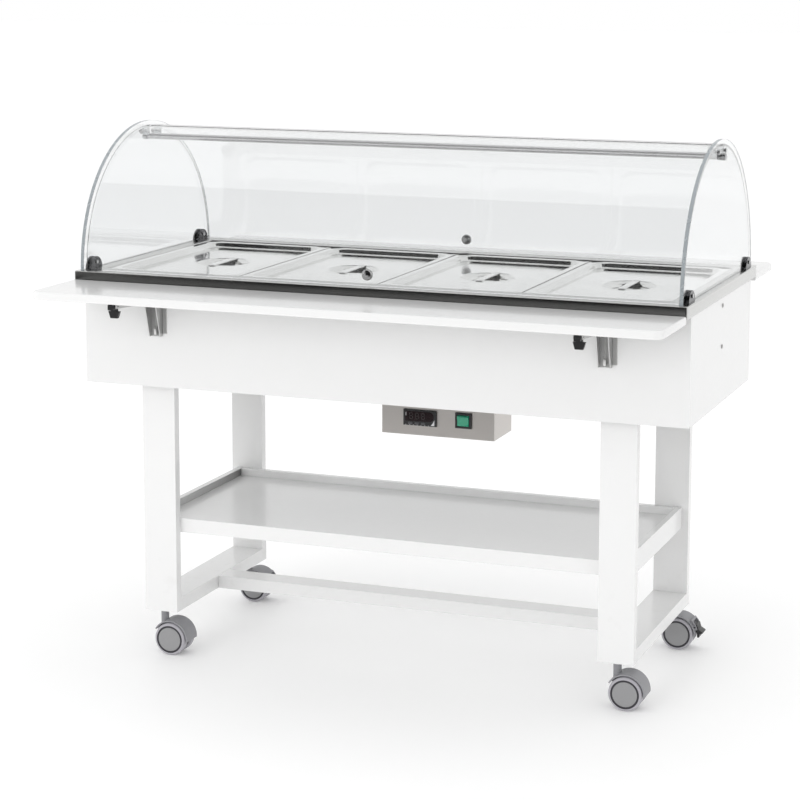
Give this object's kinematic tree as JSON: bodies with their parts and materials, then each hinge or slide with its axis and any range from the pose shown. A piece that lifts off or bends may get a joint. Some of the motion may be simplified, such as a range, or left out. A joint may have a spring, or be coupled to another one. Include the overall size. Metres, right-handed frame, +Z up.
{
  "type": "steam table unit",
  "caption": "Mobile heated buffet trolley: lidded gastronorm wells in a steel deck under a hinged clear dome, with folding side flaps, a control box, a lower shelf and swivel casters",
  "frame": {"origin": "on the floor, under the middle of the unit", "axes": "+X along the unit to the right, +Y from the control side to the far side, +Z up"},
  "size_m": [1.4, 1.052, 1.203],
  "materials": {
    "white_board": "gloss white lacquered board",
    "deck_steel": "satin stainless deck, dark in its folded front edge",
    "well_steel": "deep drawn stainless, satin",
    "element_steel": "drawn stainless tube, heat dulled",
    "mineral_wool": "yellow mineral wool slab",
    "galvanised_sheet": "galvanised sheet with faint spangle",
    "pan_steel": "drawn stainless, bright satin",
    "lid_steel": "pressed stainless, bright satin",
    "acrylic": "clear cast acrylic, polished edges",
    "door_fitting": "clear moulded acrylic",
    "clamp_metal": "dark nickelled half-round clamp",
    "polished_rod": "polished stainless",
    "screw_steel": "zinc plated steel",
    "bracket_steel": "zinc grey bracket steel",
    "black_plastic": "black moulded plastic",
    "key_plastic": "dark grey moulded keys",
    "box_steel": "brushed stainless with a warm cast",
    "green_rocker": "translucent green moulding",
    "terminal_plastic": "ivory moulded plastic",
    "valve_brass": "nickel-worn brass",
    "valve_handle": "red dipped steel handle",
    "caster_grey": "grey moulded nylon",
    "caster_wheel": "grey discs with darker treads",
    "brake_plastic": "dark grey moulded lever",
    "caster_stem_zinc": "zinc plated stem"
  },
  "bodies": {
    "frame": {"posts": "white_board", "foot_boards": "white_board", "stretcher_board": "white_board", "apron_boards": "white_board", "frame_screws": "screw_steel", "shelf_tray": "white_board", "deck": "deck_steel", "divider_bars": "well_steel", "water_tank": "well_steel", "heating_element": "element_steel", "tank_insulation": "mineral_wool", "underside_tray": "galvanised_sheet", "temperature_probe": "element_steel", "end_panels": "acrylic", "top_strip": "acrylic", "panel_clamps": "clamp_metal", "dome_rod": "polished_rod", "dome_fasteners": "polished_rod", "flap_wall_brackets": "bracket_steel", "flap_pivot_pins": "screw_steel", "control_box": "box_steel", "thermostat": "black_plastic", "switch_frame": "black_plastic", "terminal_block": "terminal_plastic", "mains_gland": "black_plastic", "drain_valve_body": "valve_brass", "caster_stems": "caster_stem_zinc"},
    "front_door_leaf": {"front_door": "acrylic", "front_door_fittings": "door_fitting"},
    "rear_door_leaf": {"rear_door": "acrylic", "rear_door_fittings": "door_fitting"},
    "front_flap_leaf": {"front_flap": "white_board", "front_flap_arms": "bracket_steel"},
    "front_levers": {"front_release_levers": "black_plastic"},
    "rear_flap_leaf": {"rear_flap": "white_board", "rear_flap_arms": "bracket_steel"},
    "rear_levers": {"rear_release_levers": "black_plastic"},
    "pan_1_loose": {"pan_1": "pan_steel"},
    "lid_1_loose": {"lid_1": "lid_steel"},
    "pan_2_loose": {"pan_2": "pan_steel"},
    "lid_2_loose": {"lid_2": "lid_steel"},
    "pan_3_loose": {"pan_3": "pan_steel"},
    "lid_3_loose": {"lid_3": "lid_steel"},
    "pan_4_loose": {"pan_4": "pan_steel"},
    "lid_4_loose": {"lid_4": "lid_steel"},
    "key_1": {"thermostat_button_1": "key_plastic"},
    "key_2": {"thermostat_button_2": "key_plastic"},
    "key_3": {"thermostat_button_3": "key_plastic"},
    "rocker": {"switch_rocker": "green_rocker"},
    "valve_handle": {"drain_valve_lever": "valve_handle"},
    "front_left_swivel": {"front_left_caster_housing": "caster_grey"},
    "front_left_wheel_set": {"front_left_caster_wheels": "caster_wheel"},
    "front_right_swivel": {"front_right_caster_housing": "caster_grey"},
    "front_right_wheel_set": {"front_right_caster_wheels": "caster_wheel"},
    "rear_left_swivel": {"rear_left_caster_housing": "caster_grey"},
    "rear_left_wheel_set": {"rear_left_caster_wheels": "caster_wheel"},
    "rear_left_brake": {"rear_left_brake_lever": "brake_plastic"},
    "rear_right_swivel": {"rear_right_caster_housing": "caster_grey"},
    "rear_right_wheel_set": {"rear_right_caster_wheels": "caster_wheel"},
    "rear_right_brake": {"rear_right_brake_lever": "brake_plastic"}
  },
  "joints": [
    {"name": "front_door_hinge", "type": "hinge", "parent": "frame", "child": "front_door_leaf", "pos_m": [0, -0.03, 1.177], "axis": [-1, 0, 0], "range_deg": [0, 100]},
    {"name": "rear_door_hinge", "type": "hinge", "parent": "frame", "child": "rear_door_leaf", "pos_m": [0, 0.03, 1.177], "axis": [1, 0, 0], "range_deg": [0, 100]},
    {"name": "front_flap_fold", "type": "hinge", "parent": "frame", "child": "front_flap_leaf", "pos_m": [0, -0.312, 0.841], "axis": [1, 0, 0], "range_deg": [0, 90]},
    {"name": "front_release_press", "type": "hinge", "parent": "front_flap_leaf", "child": "front_levers", "pos_m": [0, -0.482, 0.843], "axis": [-1, 0, 0], "range_deg": [0, 12], "stiffness_Nm_per_rad": 0.4, "springref_deg": -8.59},
    {"name": "rear_flap_fold", "type": "hinge", "parent": "frame", "child": "rear_flap_leaf", "pos_m": [0, 0.312, 0.841], "axis": [-1, 0, 0], "range_deg": [0, 90]},
    {"name": "rear_release_press", "type": "hinge", "parent": "rear_flap_leaf", "child": "rear_levers", "pos_m": [0, 0.482, 0.843], "axis": [1, 0, 0], "range_deg": [0, 12], "stiffness_Nm_per_rad": 0.4, "springref_deg": -8.59},
    {"name": "pan_1_lift", "type": "slide", "parent": "frame", "child": "pan_1_loose", "axis": [0, 0, 1], "range_m": [0, 0.09]},
    {"name": "lid_1_lift", "type": "slide", "parent": "pan_1_loose", "child": "lid_1_loose", "axis": [0, 0, 1], "range_m": [0, 0.05]},
    {"name": "pan_2_lift", "type": "slide", "parent": "frame", "child": "pan_2_loose", "axis": [0, 0, 1], "range_m": [0, 0.09]},
    {"name": "lid_2_lift", "type": "slide", "parent": "pan_2_loose", "child": "lid_2_loose", "axis": [0, 0, 1], "range_m": [0, 0.05]},
    {"name": "pan_3_lift", "type": "slide", "parent": "frame", "child": "pan_3_loose", "axis": [0, 0, 1], "range_m": [0, 0.09]},
    {"name": "lid_3_lift", "type": "slide", "parent": "pan_3_loose", "child": "lid_3_loose", "axis": [0, 0, 1], "range_m": [0, 0.05]},
    {"name": "pan_4_lift", "type": "slide", "parent": "frame", "child": "pan_4_loose", "axis": [0, 0, 1], "range_m": [0, 0.09]},
    {"name": "lid_4_lift", "type": "slide", "parent": "pan_4_loose", "child": "lid_4_loose", "axis": [0, 0, 1], "range_m": [0, 0.05]},
    {"name": "key_1_press", "type": "slide", "parent": "frame", "child": "key_1", "axis": [0, 1, 0], "range_m": [0, 0.0008], "stiffness_N_per_m": 300, "springref_m": -0.001},
    {"name": "key_2_press", "type": "slide", "parent": "frame", "child": "key_2", "axis": [0, 1, 0], "range_m": [0, 0.0008], "stiffness_N_per_m": 300, "springref_m": -0.001},
    {"name": "key_3_press", "type": "slide", "parent": "frame", "child": "key_3", "axis": [0, 1, 0], "range_m": [0, 0.0008], "stiffness_N_per_m": 300, "springref_m": -0.001},
    {"name": "rocker_tilt", "type": "hinge", "parent": "frame", "child": "rocker", "pos_m": [0.178, -0.203, 0.591], "axis": [-1, 0, 0], "range_deg": [0, 16]},
    {"name": "drain_valve_turn", "type": "hinge", "parent": "frame", "child": "valve_handle", "pos_m": [-0.42, -0.018, 0.618], "axis": [0, 1, 0], "range_deg": [0, 90]},
    {"name": "front_left_caster_swivel", "type": "hinge", "parent": "frame", "child": "front_left_swivel", "pos_m": [-0.538, -0.226, 0.088], "axis": [0, 0, 1], "continuous": true},
    {"name": "front_left_wheel_spin", "type": "hinge", "parent": "front_left_swivel", "child": "front_left_wheel_set", "pos_m": [-0.514, -0.226, 0.0375], "axis": [0, 1, 0], "continuous": true},
    {"name": "front_right_caster_swivel", "type": "hinge", "parent": "frame", "child": "front_right_swivel", "pos_m": [0.538, -0.226, 0.088], "axis": [0, 0, 1], "continuous": true},
    {"name": "front_right_wheel_spin", "type": "hinge", "parent": "front_right_swivel", "child": "front_right_wheel_set", "pos_m": [0.562, -0.226, 0.0375], "axis": [0, 1, 0], "continuous": true},
    {"name": "rear_left_caster_swivel", "type": "hinge", "parent": "frame", "child": "rear_left_swivel", "pos_m": [-0.538, 0.226, 0.088], "axis": [0, 0, 1], "continuous": true},
    {"name": "rear_left_wheel_spin", "type": "hinge", "parent": "rear_left_swivel", "child": "rear_left_wheel_set", "pos_m": [-0.514, 0.226, 0.0375], "axis": [0, 1, 0], "continuous": true},
    {"name": "rear_left_brake_press", "type": "hinge", "parent": "rear_left_swivel", "child": "rear_left_brake", "pos_m": [-0.4738, 0.226, 0.0554], "axis": [0, 1, 0], "range_deg": [0, 15]},
    {"name": "rear_right_caster_swivel", "type": "hinge", "parent": "frame", "child": "rear_right_swivel", "pos_m": [0.538, 0.226, 0.088], "axis": [0, 0, 1], "continuous": true},
    {"name": "rear_right_wheel_spin", "type": "hinge", "parent": "rear_right_swivel", "child": "rear_right_wheel_set", "pos_m": [0.562, 0.226, 0.0375], "axis": [0, 1, 0], "continuous": true},
    {"name": "rear_right_brake_press", "type": "hinge", "parent": "rear_right_swivel", "child": "rear_right_brake", "pos_m": [0.6022, 0.226, 0.0554], "axis": [0, 1, 0], "range_deg": [0, 15]}
  ]
}
